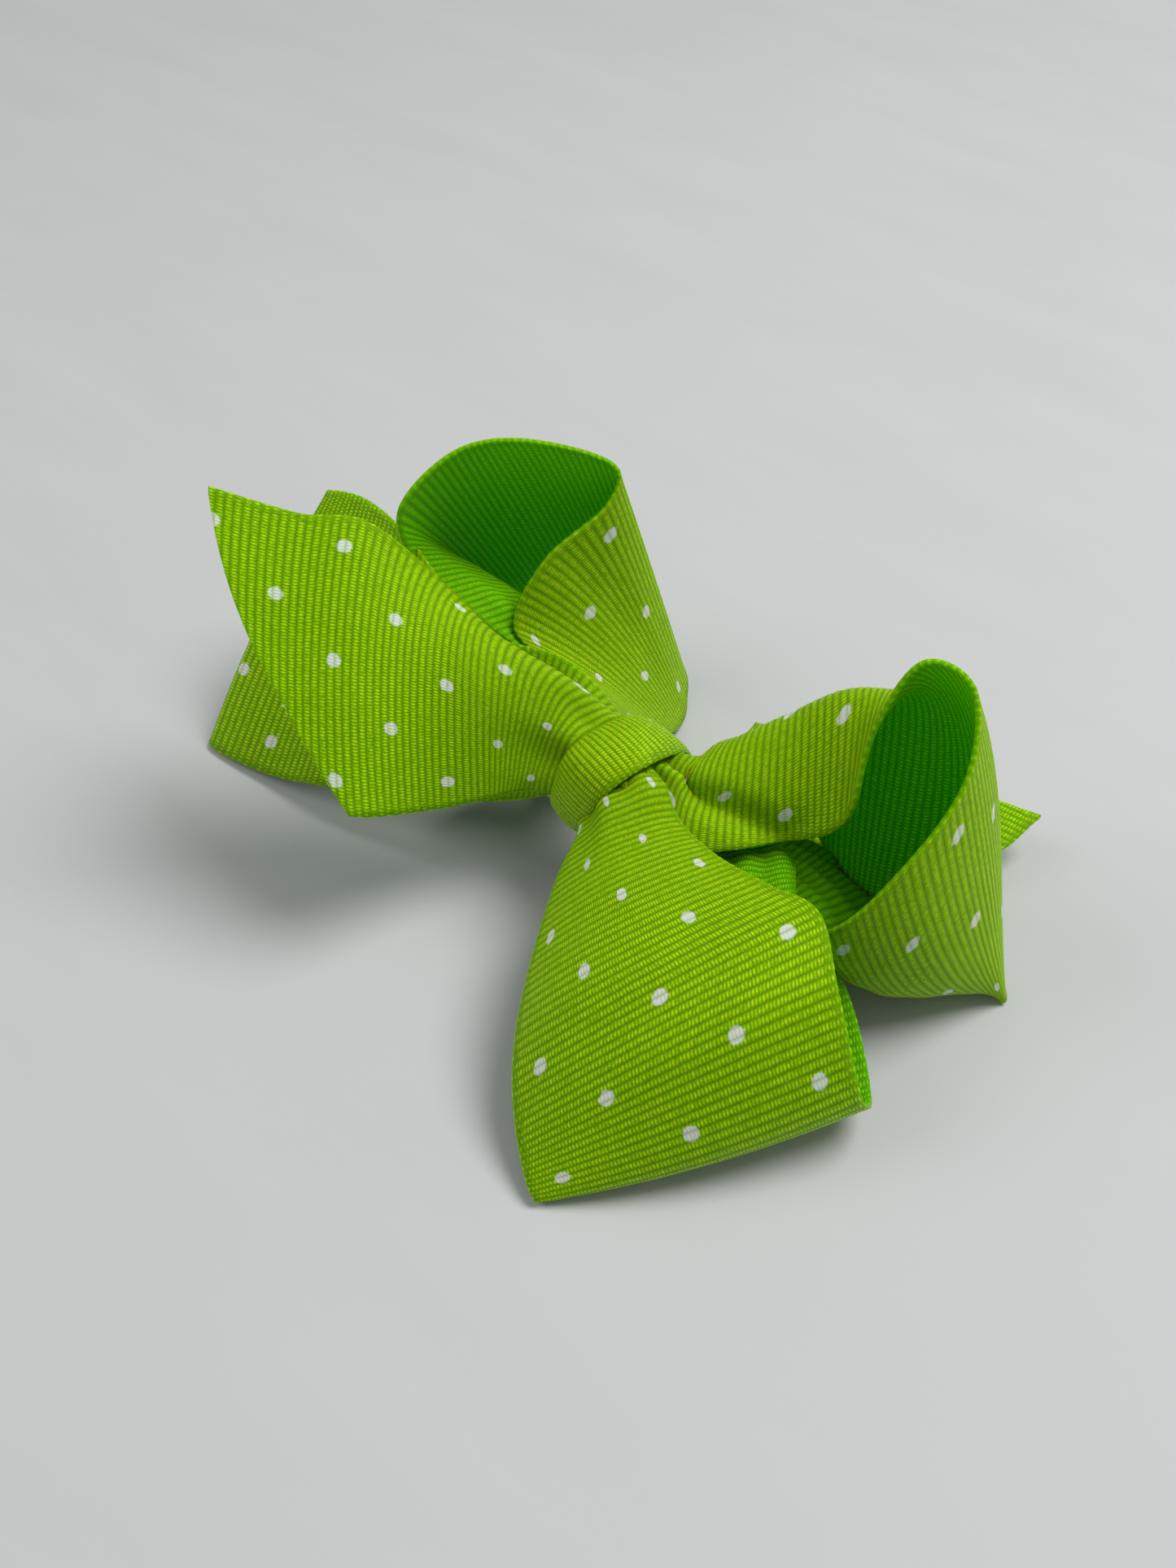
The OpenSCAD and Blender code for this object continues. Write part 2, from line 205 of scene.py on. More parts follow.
LOOP_FRONT_RIGHT = [
    [[0.3, -7.1, 14.3], [3.3, -4.3, 20.8], [6.6, 1.2, 22]],
    [[2.5, -13, 14], [7, -8, 19.8], [11, -1, 20]],
    [[7, -22, 13], [13, -14, 20], [18, -3, 20.5]],
    [[11, -29.5, 10], [19, -20, 19.5], [26, -3.5, 21.5]],
    [[15, -35, 7], [24.5, -22.5, 18], [33, -3.5, 22]],
    [[20, -39.5, 3.5], [31, -26, 14.5], [40.2, -9.5, 19]],
    [[24.5, -42, 0.9], [36.5, -28.5, 5.5], [46.5, -12.5, 9.5]],
    [[23, -37.5, 0.8], [35, -23.5, 2], [45.5, -8, 4.5]],
    [[17, -28.5, 3.5], [27.5, -16.5, 6], [37.3, -1.5, 9]],
    [[10, -19, 8], [19.5, -8, 12.5], [27, 2, 14.8]],
    [[4.5, -10, 12.5], [11, -1, 14.5], [21, 7.8, 14.6]],
    [[1.5, -5.6, 14.4], [6.6, -2.2, 15], [9.5, 5, 15]]]
LOOP_BACK_RIGHT = [
    [[7.4, 0.5, 19.6], [7, 5, 22], [6.8, 10, 19.4]],
    [[13.5, -1.5, 17.2], [8.5, 8.5, 22.5], [8, 16, 17.5]],
    [[21, 5.7, 18], [13.5, 16.5, 26.5], [16, 18.5, 12]],
    [[27.5, 9.2, 23], [19.5, 21, 31], [24.5, 16, 5.5]],
    [[27, 13.5, 34.5], [27, 24, 30], [31, 17.5, 2.5]],
    [[29, 18.5, 42.5], [34.5, 25, 27.5], [39.5, 23, 2.5]],
    [[35, 20, 41], [40.5, 21.5, 24], [45, 20.5, 1.8]],
    [[39.5, 13, 35], [44.6, 14.3, 17.5], [49.2, 16.6, 0.6]],
    [[38.5, 3.5, 27.5], [44.2, 7, 10.5], [46.5, 17, 0.6]],
    [[33.5, -2, 18], [37.8, 3.8, 5.5], [38, 18.5, 0.9]],
    [[24, -3.5, 13], [26, 5.5, 11.3], [27, 20, 3.2]],
    [[14, -3.5, 12.4], [16.5, 4, 13.4], [18.5, 15, 9.6]],
    [[8, -2.5, 13.1], [8, 3, 13.1], [8, 7.5, 13.1]]]
TAIL_BACK = [
    [[8, 1.5, 16.3], [8, 5, 17], [7.8, 9.4, 16.6]],
    [[14, 11, 8.5], [10, 12.5, 12.5], [5, 14.5, 14.2]],
    [[23, 22, 3.5], [13, 20, 9.5], [3, 20, 12]],
    [[36, 32, 4.5], [17.5, 29, 8.5], [2, 26.5, 10]],
    [[38.6, 42, 6], [19.5, 38.5, 7], [-1.5, 36, 7.5]]]


# Each run's ends are tucked on into the wrap.
TUCK_LEFT_TOP = [[-2.5, 5.5, 20.5], [-2.5, 1.2, 22], [-3.5, -1.8, 15.5]]
TUCK_LEFT_MIDDLE = [[-3, 6.5, 18.5], [-3, 2.5, 18.8], [-3, -0.5, 14]]
TUCK_LEFT_LOW = [[-4, 5.5, 15.5], [-4, 4, 15], [-4, 2.5, 14]]
TUCK_RIGHT_TOP = [[-2.6, -2.6, 14.4], [-0.6, -1, 19.2], [1.8, 1.8, 21.4]]
TUCK_RIGHT_MIDDLE = [[2.5, 0.8, 19], [2.5, 4.2, 21.2], [2.5, 8, 18.8]]
TUCK_RIGHT_LOW = [[3, -0.5, 13.5], [3, 2.5, 13.6], [3, 5.5, 13.6]]

# The narrow ribbon of the wrap, from its start under the knot, up the front, over the top,
# down the back and over its own start.
WRAP = [
    [[-3.6, 4.5, 11.4], [0, 4.5, 11.3], [3.8, 4.5, 11.5]],
    [[-5.4, -0.6, 11.2], [-2, -1, 11], [1.2, -1.2, 10.9]],
    [[-7.6, -3, 12.8], [-5, -3.9, 11.9], [-1.8, -3.6, 11]],
    [[-7, -3.7, 17], [-4, -5, 16.2], [-0.2, -4.9, 14.8]],
    [[-6.1, -1.6, 21.8], [-2.4, -3.3, 22.5], [2.2, -3.8, 21.3]],
    [[-4.8, 3.7, 23.2], [-0.6, 3, 24.3], [4.3, 2, 23.4]],
    [[-4, 8, 21.8], [0.2, 8.2, 22.4], [4.4, 8.9, 20.2]],
    [[-3.2, 10.2, 16.5], [0.8, 10.7, 16.5], [5, 10, 16]],
    [[-3.2, 8.6, 12], [0.6, 8.9, 11.6], [4.4, 8.6, 11.8]],
    [[-3.6, 4, 10.8], [0, 4, 10.7], [3.6, 4, 10.9]],
    [[-4.2, 0.5, 10.6], [-0.6, 0.3, 10.5], [2.8, 0, 10.6]]]


# ---------------------------------------------------------------- shader nodes
def new_material(name, base, roughness, inputs):
    mat = bpy.data.materials.new(name)
    mat.use_nodes = True
    shader = mat.node_tree.nodes["Principled BSDF"]
    shader.inputs["Base Color"].default_value = (*base, 1)
    shader.inputs["Roughness"].default_value = roughness
    for key, value in inputs.items():
        shader.inputs[key].default_value = value
    return mat, shader


def add_math(tree, operation, a, b=None, c=None, clamp=False):
    node = tree.nodes.new("ShaderNodeMath")
    node.operation = operation
    node.use_clamp = clamp
    for socket, value in zip(node.inputs, (a, b, c)):
        if value is None:
            continue
        if isinstance(value, (int, float)):
            socket.default_value = value
        else:
            tree.links.new(value, socket)
    return node.outputs[0]


def weighted_sum(tree, *terms):
    """The sum of pairs of a value and its weight."""
    total = 0.0
    for value, weight in terms:
        total = add_math(tree, "MULTIPLY_ADD", value, weight, total)
    return total


def mix_colour(tree, factor, a, b, blend="MIX"):
    """Colour a turned into b by factor. Each can be a socket, and a colour can be a tuple."""
    node = tree.nodes.new("ShaderNodeMix")
    node.data_type = "RGBA"
    node.blend_type = blend
    for socket, value in ((node.inputs[0], factor), (node.inputs[6], a), (node.inputs[7], b)):
        if isinstance(value, tuple):
            socket.default_value = (*value, 1)
        elif isinstance(value, (int, float)):
            socket.default_value = value
        else:
            tree.links.new(value, socket)
    return node.outputs[2]


def noise(tree, coords, scale, detail, rough):
    node = tree.nodes.new("ShaderNodeTexNoise")
    node.inputs["Scale"].default_value = scale
    node.inputs["Detail"].default_value = detail
    node.inputs["Roughness"].default_value = rough
    tree.links.new(coords, node.inputs["Vector"])
    return node.outputs["Fac"]


def add_bump(tree, shader, height, strength, distance):
    node = tree.nodes.new("ShaderNodeBump")
    node.inputs["Strength"].default_value = strength
    node.inputs["Distance"].default_value = distance
    tree.links.new(height, node.inputs["Height"])
    tree.links.new(node.outputs["Normal"], shader.inputs["Normal"])


def thread_coords(tree):
    """The ribbon's own millimetres: along its length, across its width, and its face, which
    is 1 outside and 0 inside."""
    node = tree.nodes.new("ShaderNodeAttribute")
    node.attribute_name = "ribbon_mm"
    split = tree.nodes.new("ShaderNodeSeparateXYZ")
    tree.links.new(node.outputs["Vector"], split.inputs[0])
    return node.outputs["Vector"], split.outputs


# ---------------------------------------------------------------- woven materials
def rib_crests(tree, along, pitch):
    """1 on top of each rib and 0 in the grooves between the ribs."""
    phase = add_math(tree, "MULTIPLY", along, math.pi / pitch)
    return add_math(tree, "ABSOLUTE", add_math(tree, "SINE", phase))


def warp_threads(tree, along, across, pitch):
    """1 on and 0 between the fine threads along the ribbon, which swap at every rib."""
    rib_number = add_math(tree, "FLOOR", add_math(tree, "DIVIDE", along, pitch))
    phase = add_math(tree, "MULTIPLY", across, 2 * math.pi / WARP_PITCH)
    wave = add_math(tree, "SINE", add_math(tree, "MULTIPLY_ADD", rib_number, math.pi, phase))
    return add_math(tree, "MULTIPLY_ADD", wave, 0.5, 0.5)


def selvedges(tree, across, width):
    """1 on the two edges of the ribbon, which are woven plain, and 0 between them."""
    edge = add_math(tree, "MINIMUM", across, add_math(tree, "SUBTRACT", width, across))
    inward = add_math(tree, "SUBTRACT", SELVEDGE_W, edge)
    return add_math(tree, "MULTIPLY", inward, SELVEDGE_SHARPNESS, clamp=True)


def printed_ink(tree, along, across, face, crest, speckle):
    """How much white ink covers each point of the outer face."""
    half = DOT_STEP / 2
    margin = (RIBBON_W - (DOT_ROWS - 1) * half) / 2
    row_pos = add_math(tree, "DIVIDE", add_math(tree, "SUBTRACT", across, margin), half)
    row = add_math(tree, "ROUND", row_pos)
    from_row = add_math(tree, "MULTIPLY", add_math(tree, "SUBTRACT", row_pos, row), half)
    cell = add_math(tree, "DIVIDE", add_math(tree, "MULTIPLY_ADD", row, half, along), DOT_STEP)
    from_column = add_math(tree, "SUBTRACT", cell, add_math(tree, "ROUND", cell))
    from_column = add_math(tree, "MULTIPLY", from_column, DOT_STEP)
    square = add_math(tree, "ADD", add_math(tree, "MULTIPLY", from_row, from_row),
                      add_math(tree, "MULTIPLY", from_column, from_column))
    ragged = add_math(tree, "MULTIPLY_ADD", speckle, DOT_RAGGED, DOT_D / 2 - DOT_SHRINK)
    inside = add_math(tree, "SUBTRACT", ragged, add_math(tree, "SQRT", square))
    inside = add_math(tree, "MULTIPLY", inside, DOT_SHARPNESS, clamp=True)
    from_middle = add_math(tree, "SUBTRACT", row, (DOT_ROWS - 1) / 2)
    on_row = add_math(tree, "LESS_THAN", add_math(tree, "ABSOLUTE", from_middle), DOT_ROWS / 2)
    outside = add_math(tree, "GREATER_THAN", face, 0.5)
    covered = add_math(tree, "MULTIPLY", add_math(tree, "MULTIPLY", inside, on_row), outside)
    cover = add_math(tree, "MULTIPLY_ADD", crest, INK_ON_CREST, INK_IN_GROOVE, clamp=True)
    return add_math(tree, "MULTIPLY", covered, cover)


def woven(name, light, dark, width, pitch, roughness, gloss, dots):
    """Lime grosgrain of a ribbon that is width wide, with ribs that are pitch apart."""
    mat, shader = new_material(name, light, roughness, {**CLOTH, "Specular IOR Level": gloss})
    tree = mat.node_tree
    coords, (along, across, face) = thread_coords(tree)
    crest = add_math(tree, "POWER", rib_crests(tree, along, pitch), CREST_POWER)
    warp = warp_threads(tree, along, across, pitch)
    dashes = add_math(tree, "MULTIPLY", warp, crest)
    speckle = noise(tree, coords, scale=2.6, detail=2.0, rough=0.6)
    cloud = noise(tree, coords, scale=0.09, detail=2.0, rough=0.5)
    # painted light and shade: crests and their warp threads lit, grooves shaded; speckle and
    # cloud are the threads' random unevenness
    tone = weighted_sum(tree, (crest, CREST_PAINTED_LIGHT), (dashes, DASH_PAINTED_LIGHT), (speckle, SPECKLE_TONE),
                        (cloud, CLOUD_TONE))
    tone = add_math(tree, "SUBTRACT", tone, TONE_OFF, clamp=True)
    edge = selvedges(tree, across, width)
    edge_tone = add_math(tree, "MULTIPLY_ADD", speckle, SPECKLE_TONE, SELVEDGE_TONE)
    tone = weighted_sum(tree, (edge_tone, edge), (tone, add_math(tree, "SUBTRACT", 1.0, edge)))
    colour = mix_colour(tree, tone, dark, light)
    # painted highlights on the crests' warp threads
    glint = add_math(tree, "MULTIPLY", add_math(tree, "POWER", crest, GLINT_POWER), warp)
    glint = add_math(tree, "MULTIPLY", glint, add_math(
        tree, "MULTIPLY_ADD", speckle, GLINT_SPREAD, -GLINT_OFF, clamp=True))
    colour = mix_colour(tree, add_math(tree, "MULTIPLY", glint, GLINT), colour, LIME_PAINTED_GLINT)
    # painted green light on the inner face, standing for light that comes through the ribbon
    inner = add_math(tree, "SUBTRACT", 1.0, face, clamp=True)
    inner = add_math(tree, "MULTIPLY", inner, INNER_PAINTED_LIGHT_SHARE)
    tint = mix_colour(tree, inner, (1, 1, 1), INNER_PAINTED_LIGHT)
    colour = mix_colour(tree, 1.0, colour, tint, blend="MULTIPLY")
    if dots:
        ink = printed_ink(tree, along, across, face, crest, speckle)
        colour = mix_colour(tree, ink, colour, INK)
    tree.links.new(colour, shader.inputs["Base Color"])
    # relief too fine for the mesh: the warp threads and the fibres' fuzz
    height = weighted_sum(tree, (warp, 0.5), (speckle, 0.6))
    add_bump(tree, shader, height, strength=0.8, distance=0.12 * MM)
    return mat


dotted = woven("dotted_grosgrain", LIME_LIGHT, LIME_DARK, RIBBON_W, RIB_PITCH, roughness=0.5,
               gloss=0.25, dots=True)
plain = woven("plain_grosgrain", WRAP_LIGHT, WRAP_DARK, WRAP_W, WRAP_PITCH, roughness=0.33,
              gloss=0.5, dots=False)


# ---------------------------------------------------------------- ribbon geometry
def curve(column, t):
    """The Catmull-Rom curve through a column of points, at station numbers t."""
    pts = np.asarray(column, float)
    last = len(pts) - 1
    pts = np.vstack([2 * pts[0] - pts[1], pts, 2 * pts[-1] - pts[-2]])
    i = np.minimum(np.floor(t).astype(int), last - 1)
    f = (t - i)[:, None]
    a, b, c, d = pts[i], pts[i + 1], pts[i + 2], pts[i + 3]
    return 0.5 * (2 * b + (c - a) * f + (2 * a - 5 * b + 4 * c - d) * f ** 2
                  + (3 * b - a - 3 * c + d) * f ** 3)


def surface(run, t, v):
    """Points of a run in the stations' millimetres: rows along t and columns across v."""
    edge_a, middle, edge_b = (curve([s[k] for s in run], t)[:, None, :] for k in range(3))
    v = v[None, :, None]
    return (edge_a * (1 - v) * (1 - 2 * v) + middle * 4 * v * (1 - v) + edge_b * v * (2 * v - 1))


def unit(vectors):
    return vectors / np.maximum(np.linalg.norm(vectors, axis=2, keepdims=True), 1e-9)


def normals(grid):
    return unit(np.cross(np.gradient(grid, axis=0), np.gradient(grid, axis=1)))


def arc_rows(run, pitch):
    """Station numbers of rows that lie pitch apart along the ribbon, the millimetres at
    which they lie, and the run's length."""
    t = np.linspace(0, len(run) - 1, MEASURE_ROWS)
    grid = surface(run, t, np.linspace(0, 1, MEASURE_COLUMNS))
    step = np.linalg.norm(np.diff(grid, axis=0), axis=2).mean(axis=1)
    s = np.concatenate([[0], np.cumsum(step)])
    length = s[-1]
    rows = np.arange(0, length, pitch)
    return np.interp(rows, s, t), rows, length


def even_columns(grid):
    """The same rows with their points evenly spaced across the ribbon, and each row's width."""
    step = np.linalg.norm(np.diff(grid, axis=1), axis=2)
    s = np.concatenate([np.zeros((len(grid), 1)), np.cumsum(step, axis=1)], axis=1)
    out = np.empty_like(grid)
    for r in range(len(grid)):
        want = np.linspace(0, s[r, -1], grid.shape[1])
        for k in range(3):
            out[r, :, k] = np.interp(want, s[r], grid[r, :, k])
    return out, s[:, -1]


# For waves of each steepest slope, how much longer the wavy line is than the straight one.
WAVE_SLOPES = np.linspace(0, 6, 200)
ONE_WAVE = np.linspace(0, 2 * math.pi, 400)
WAVE_LENGTHS = np.array([np.mean(np.sqrt(1 + (slope * np.cos(ONE_WAVE)) ** 2))
                         for slope in WAVE_SLOPES])


def pleated(grid, widths, v, waves, phase, most):
    """Gather the rows that are narrower than the ribbon into waves across it. most is each
    row's highest wave."""
    short = np.clip(RIBBON_W / widths, 1, WAVE_LENGTHS[-1])
    slope = np.interp(short, WAVE_LENGTHS, WAVE_SLOPES)
    height = slope * widths / (2 * math.pi * waves)
    height = most * np.tanh(height / np.maximum(most, LEAST_PLEAT))
    wave = np.sin(2 * math.pi * waves * v + phase)
    return grid + normals(grid) * (height[:, None] * wave[None, :])[:, :, None]


def creased(grid, rows, v):
    """Press a soft valley into a run, from where it leaves the wrap to its first edge."""
    line = np.interp(rows, [CREASE_FROM[0], CREASE_TO[0]], [CREASE_FROM[1], CREASE_TO[1]])
    away = (v[None, :] - line[:, None]) * RIBBON_W / CREASE_HALF_W
    fade = np.exp(-(np.maximum(rows - CREASE_TO[0], 0) / CREASE_HALF_W) ** 2)
    depth = CREASE_DEPTH * fade[:, None] * np.exp(-away ** 2)
    return grid - normals(grid) * depth[:, :, None]


def cut_slanted(grid, length, slant, pitch, v):
    """Cut the far end at a slant: columns stop earlier towards the second edge."""
    last = len(grid) - 1
    stop = (length - slant * (v + CUT_CURVE * np.sin(math.pi * v))) / pitch
    index = np.minimum(np.arange(len(grid))[:, None], np.minimum(stop, last)[None, :])
    low = np.floor(index).astype(int)
    high = np.minimum(low + 1, last)
    f = (index - low)[:, :, None]
    columns = np.arange(len(v))[None, :]
    return grid[low, columns] * (1 - f) + grid[high, columns] * f


def strip_faces(rows, cols):
    """Quads that close a strip: its outer and inner face, its two edges and its two ends."""
    top, low = np.arange(2 * rows * cols).reshape(2, rows, cols)
    quads = [
        [top[:-1, :-1], top[:-1, 1:], top[1:, 1:], top[1:, :-1]],
        [low[:-1, :-1], low[1:, :-1], low[1:, 1:], low[:-1, 1:]],
        [top[:-1, 0], top[1:, 0], low[1:, 0], low[:-1, 0]],
        [top[:-1, -1], low[:-1, -1], low[1:, -1], top[1:, -1]],
        [top[0, :-1], low[0, :-1], low[0, 1:], top[0, 1:]],
        [top[-1, :-1], top[-1, 1:], low[-1, 1:], low[-1, :-1]]]
    return np.concatenate([np.stack(corners, -1).reshape(-1, 4) for corners in quads])


def build_ribbon(name, grid, along, across, outer, width, thickness, relief, picot, pitch,
                 material):
    """A closed woven strip round a grid of points. outer is 1 or -1: the side of the grid on
    which the ribbon's outer face lies. Returns the piece."""
    rows, cols = grid.shape[:2]
    edge = np.minimum(across, width - across)
    rib = np.abs(np.sin(math.pi * along / pitch)) ** RIB_POWER
    ribs = relief * (rib - 0.5)[:, None] * (1 - np.exp(-(edge / SELVEDGE_W) ** 4))[None, :]
    cord = CORD_RELIEF * np.exp(-(edge / CORD_W) ** 2)[None, :]
    half_thick = thickness / 2 + cord + ribs
    outward = normals(grid) * outer
    sideways = np.zeros(cols)
    sideways[0], sideways[-1] = -1, 1
    picots = picot * (rib - PICOT_DIP)[:, None] * sideways[None, :]
    grid = grid + unit(np.gradient(grid, axis=1)) * picots[:, :, None]
    verts = np.concatenate([(grid + outward * side * half_thick[:, :, None]).reshape(-1, 3)
                            for side in (1, -1)])
    faces = strip_faces(rows, cols)
    if outer > 0:
        faces = faces[:, ::-1]
    coords = np.zeros((2, rows, cols, 3))
    coords[..., 0] = along[None, :, None]
    coords[..., 1] = across[None, None, :]
    coords[0, ..., 2] = 1
    mesh = bpy.data.meshes.new(name)
    mesh.from_pydata(((verts + np.array(KNOT)) * MM).tolist(), [], faces.tolist())
    layer = mesh.attributes.new("ribbon_mm", "FLOAT_VECTOR", "POINT")
    layer.data.foreach_set("vector", coords.reshape(-1))
    mesh.materials.append(material)
    mesh.validate()
    mesh.update()
    for polygon in mesh.polygons:
        polygon.use_smooth = True
    piece = bpy.data.objects.new(name, mesh)
    bpy.context.scene.collection.objects.link(piece)
    return piece


def weld(piece):
    modifier = piece.modifiers.new("weld", "WELD")
    modifier.merge_threshold = WELD_MM * MM
    bpy.context.view_layer.objects.active = piece
    with bpy.context.temp_override(object=piece, active_object=piece):
        bpy.ops.object.modifier_apply(modifier="weld")


# ---------------------------------------------------------------- the bow's ribbons
def wide_run(name, run, outer, print_from, phase, start_pleat, hidden_pleat, slant=0.0,
             crease=False):
    """One run of the wide ribbon, from its tuck in the wrap. print_from is the first
    millimetre of its print. A loop comes back to the wrap, and a tail's end is cut at a
    slant. The pleats are given at the run's start and where the bow hides it."""
    pitch = RIB_PITCH / ROWS_PER_RIB
    t, rows, length = arc_rows(run, pitch)
    v = np.linspace(0, 1, ACROSS + 1)
    grid, widths = even_columns(surface(run, t, v))
    near_start = TUCK_PLEAT * np.exp(-(rows / TUCK_LEN) ** 2)
    near_start += start_pleat * np.exp(-(rows / START_LEN) ** 2)
    grid = pleated(grid, widths, v, START_WAVES, phase, near_start)
    hidden = rows if slant else length - rows
    near_hidden = hidden_pleat * np.exp(-(hidden / HIDDEN_LEN) ** 2)
    grid = pleated(grid, widths, v, HIDDEN_WAVES, phase, near_hidden)
    if crease:
        grid = creased(grid, rows, v)
    grid, _ = even_columns(grid)
    if slant:
        grid = cut_slanted(grid, length, slant, pitch, v)
    piece = build_ribbon(name + "_ribbon", grid, rows + print_from, v * RIBBON_W, outer,
                         RIBBON_W, RIBBON_T, RIB_RELIEF, PICOT_OUT, RIB_PITCH, dotted)
    if slant:
        weld(piece)
    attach(piece, "bow")
    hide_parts(name)


wide_run("tail_front", [TUCK_LEFT_TOP] + TAIL_FRONT, outer=1, print_from=6.8, phase=0.0,
         start_pleat=0.6, hidden_pleat=0.0, slant=17.0)
wide_run("loop_front_left", [TUCK_LEFT_MIDDLE] + LOOP_FRONT_LEFT + [TUCK_LEFT_LOW], outer=1,
         print_from=7.1, phase=1.0, start_pleat=0.8, hidden_pleat=1.9)
wide_run("loop_back_left", [TUCK_LEFT_MIDDLE] + LOOP_BACK_LEFT + [TUCK_LEFT_LOW], outer=-1,
         print_from=4.5, phase=2.0, start_pleat=1.4, hidden_pleat=1.8)
wide_run("loop_front_right", [TUCK_RIGHT_TOP] + LOOP_FRONT_RIGHT + [TUCK_RIGHT_LOW], outer=1,
         print_from=9.8, phase=0.5, start_pleat=0.3, hidden_pleat=0.5)
wide_run("loop_back_right", [TUCK_RIGHT_MIDDLE] + LOOP_BACK_RIGHT + [TUCK_RIGHT_LOW], outer=1,
         print_from=9.3, phase=1.5, start_pleat=0.3, hidden_pleat=1.0, crease=True)
wide_run("tail_back", [TUCK_RIGHT_LOW] + TAIL_BACK, outer=1, print_from=3.0, phase=2.5,
         start_pleat=0.0, hidden_pleat=2.0, slant=8.0)


def wrap_ribbon():
    """The narrow ribbon round the knot."""
    t, rows, length = arc_rows(WRAP, WRAP_PITCH / ROWS_PER_RIB)
    v = np.linspace(0, 1, WRAP_ACROSS + 1)
    grid, _ = even_columns(surface(WRAP, t, v))
    edge = np.minimum(v, 1 - v) * WRAP_W
    turn_in = TURN_IN * np.exp(-(edge / TURN_IN_W) ** 2)
    grid = grid - normals(grid) * WRAP_OUTER * turn_in[None, :, None]
    piece = build_ribbon("centre_wrap_ribbon", grid, rows, v * WRAP_W, WRAP_OUTER, WRAP_W,
                         WRAP_T, WRAP_RELIEF, WRAP_PICOT, WRAP_PITCH, plain)
    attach(piece, "bow")
    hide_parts("centre_wrap")


def middle_ribbon():
    """The wide ribbon inside the wrap, which hides nearly all of it."""
    rows = np.arange(0, MIDDLE_LEN, RIB_PITCH / ROWS_PER_RIB)
    v = np.linspace(0, 1, MIDDLE_ACROSS + 1)
    angle = np.radians(MIDDLE_FROM + MIDDLE_ROUND * v)
    swell = MIDDLE_PLEAT * np.sin(2 * math.pi * MIDDLE_PLEATS * v)
    grid = np.zeros((len(rows), len(v), 3))
    grid[..., 0] = (rows - MIDDLE_LEN / 2)[:, None]
    grid[..., 1] = (MIDDLE_HALF[0] + swell) * np.cos(angle)
    grid[..., 2] = (MIDDLE_HALF[1] + swell) * np.sin(angle)
    turn = np.array(Matrix.Rotation(math.radians(MIDDLE_TURN), 3, "Z"))
    grid = grid @ turn.T + np.array(MIDDLE_AT)
    piece = build_ribbon("gathered_middle_ribbon", grid, rows, v * RIBBON_W, -1, RIBBON_W,
                         RIBBON_T, RIB_RELIEF, 0, RIB_PITCH, plain)
    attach(piece, "bow")
    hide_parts("gathered_middle")


wrap_ribbon()
middle_ribbon()


# ---------------------------------------------------------------- carried-over CAD nodes
def mottled(name, low, high, scale, rough_low, rough_high, stretch=(1, 1, 1), bump=0.0,
            metallic=0.0):
    """A material whose colour and roughness vary with a noise over the piece's own shape,
    scale to the metre. bump is its relief in millimetres."""
    mat, shader = new_material(name, high, rough_high, {"Metallic": metallic})
    tree = mat.node_tree
    place = tree.nodes.new("ShaderNodeTexCoord")
    mapping = tree.nodes.new("ShaderNodeMapping")
    mapping.inputs["Scale"].default_value = stretch
    tree.links.new(place.outputs["Object"], mapping.inputs["Vector"])
    cloud = noise(tree, mapping.outputs["Vector"], scale, detail=4.0, rough=0.6)
    tree.links.new(mix_colour(tree, cloud, low, high), shader.inputs["Base Color"])
    rough = add_math(tree, "MULTIPLY_ADD", cloud, rough_high - rough_low, rough_low)
    tree.links.new(rough, shader.inputs["Roughness"])
    if bump:
        add_bump(tree, shader, cloud, strength=0.5, distance=bump * MM)
    return mat


def ribbed(name, light, dark, pitch, roughness, speckle_tone, tone_off):
    """Plain grosgrain on a piece that has no ribbon coordinates: ribs across its own X."""
    mat, shader = new_material(name, light, roughness, {})
    tree = mat.node_tree
    place = tree.nodes.new("ShaderNodeTexCoord")
    split = tree.nodes.new("ShaderNodeSeparateXYZ")
    tree.links.new(place.outputs["Object"], split.inputs[0])
    crest = rib_crests(tree, split.outputs[0], pitch * MM)
    speckle = noise(tree, place.outputs["Object"], scale=2600, detail=2.0, rough=0.6)
    # painted light and shade: the crests lit and the grooves shaded, with a random speckle
    tone = add_math(tree, "MULTIPLY_ADD", speckle, speckle_tone, crest)
    tone = add_math(tree, "SUBTRACT", tone, tone_off, clamp=True)
    tree.links.new(mix_colour(tree, tone, dark, light), shader.inputs["Base Color"])
    add_bump(tree, shader, crest, strength=0.8, distance=0.2 * MM)
    return mat


def dress(nodes, material):
    for node in nodes:
        slots = frame["nodes"][node].data.materials
        slots.clear()
        slots.append(material)


metal = mottled("nickel_plate", (0.60, 0.60, 0.58), (0.78, 0.78, 0.76), scale=900,
                rough_low=0.18, rough_high=0.36, stretch=(0.15, 1, 1), bump=0.01, metallic=1.0)
glue = mottled("hot_glue", (0.80, 0.72, 0.50), (0.92, 0.88, 0.72), scale=400,
               rough_low=0.2, rough_high=0.4, bump=0.1)
thread = mottled("waxed_thread", (0.62, 0.62, 0.56), (0.88, 0.88, 0.83), scale=3000,
                 rough_low=0.5, rough_high=0.7, bump=0.06)
lining = ribbed("lining_grosgrain", LIME_LIGHT, LIME_DARK, WRAP_PITCH, roughness=0.45,
                speckle_tone=0.5, tone_off=0.25)
dress(("clip_upper_arm", "clip_lower_arm", "clip_hinge_pin", "clip_spring"), metal)
dress(("clip_glue", "wrap_glue"), glue)
dress(("binding_thread", "thread_knot"), thread)
dress(("clip_lining",), lining)

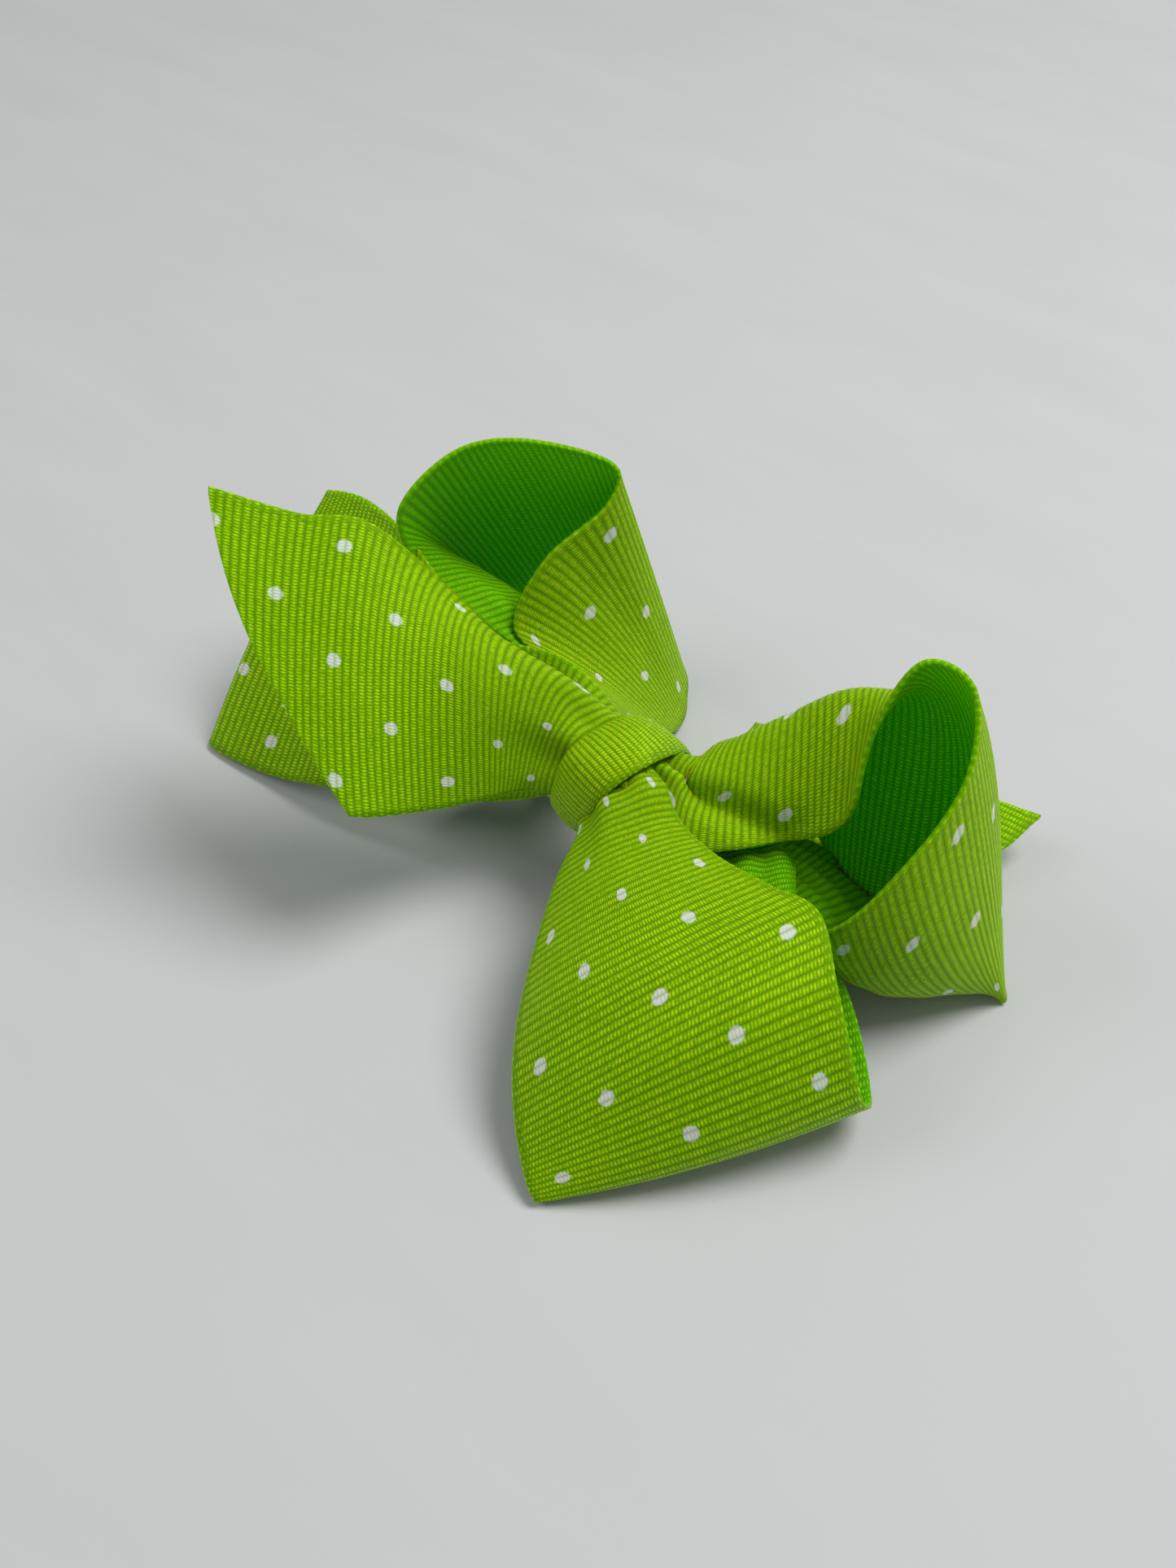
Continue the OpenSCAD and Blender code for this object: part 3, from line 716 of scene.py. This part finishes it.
# ---------------------------------------------------------------- camera
# The camera looks down on the knot from the front right. AIM stands right of its axis and
# above it, by these shares of the camera's distance.
CAMERA_EL = math.radians(45)
CAMERA_AZ = math.radians(41)
CAMERA_DISTANCE = 200.0
LENS_MM = 37.3638
SENSOR_H = 36.0
CLIP_START_MM = 5
AIM = Vector((0, 0, 21.0))
AIM_RIGHT = 0.01625
AIM_UP = 0.00925

back = Vector((math.sin(CAMERA_AZ) * math.cos(CAMERA_EL),
               -math.cos(CAMERA_AZ) * math.cos(CAMERA_EL),
               math.sin(CAMERA_EL)))
right = Vector((math.cos(CAMERA_AZ), math.sin(CAMERA_AZ), 0))
up = back.cross(right)
camera_data = bpy.data.cameras.new("camera")
camera_data.sensor_fit = "VERTICAL"
camera_data.sensor_height = SENSOR_H
camera_data.lens = LENS_MM
camera_data.clip_start = CLIP_START_MM * MM
camera = bpy.data.objects.new("camera", camera_data)
place = AIM + CAMERA_DISTANCE * (back - right * AIM_RIGHT - up * AIM_UP)
camera.location = (place + KNOT) * MM
camera.rotation_euler = (math.radians(90) - CAMERA_EL, 0, CAMERA_AZ)
bpy.context.scene.collection.objects.link(camera)
bpy.context.scene.camera = camera

# ---------------------------------------------------------------- floor and light, in metres
FLOOR_SIZE = 3
WORLD_COLOUR = (0.93, 0.97, 1.0, 1)
WORLD_STRENGTH = 0.3

bpy.ops.mesh.primitive_plane_add(size=FLOOR_SIZE)
floor = bpy.context.object
floor.name = "floor"
floor.data.materials.append(mottled(
    "painted_table", (0.555, 0.562, 0.556), (0.605, 0.61, 0.606), scale=14, rough_low=0.55,
    rough_high=0.8, stretch=(1, 4, 1)))

world = bpy.data.worlds.new("soft_room")
world.use_nodes = True
world.node_tree.nodes["Background"].inputs["Color"].default_value = WORLD_COLOUR
world.node_tree.nodes["Background"].inputs["Strength"].default_value = WORLD_STRENGTH
bpy.context.scene.world = world


def area_light(name, place, size, watts):
    """A round light that faces the origin."""
    data = bpy.data.lights.new(name, "AREA")
    data.shape = "DISK"
    data.size = size
    data.energy = watts
    lamp = bpy.data.objects.new(name, data)
    lamp.location = place
    lamp.rotation_euler = Vector(place).to_track_quat("Z", "Y").to_euler()
    bpy.context.scene.collection.objects.link(lamp)


area_light("key", place=(0.25, 0.35, 0.75), size=0.5, watts=5.6)
area_light("fill", place=(-0.5, -0.4, 0.6), size=0.6, watts=1.6)

bpy.context.scene.view_settings.view_transform = "Standard"
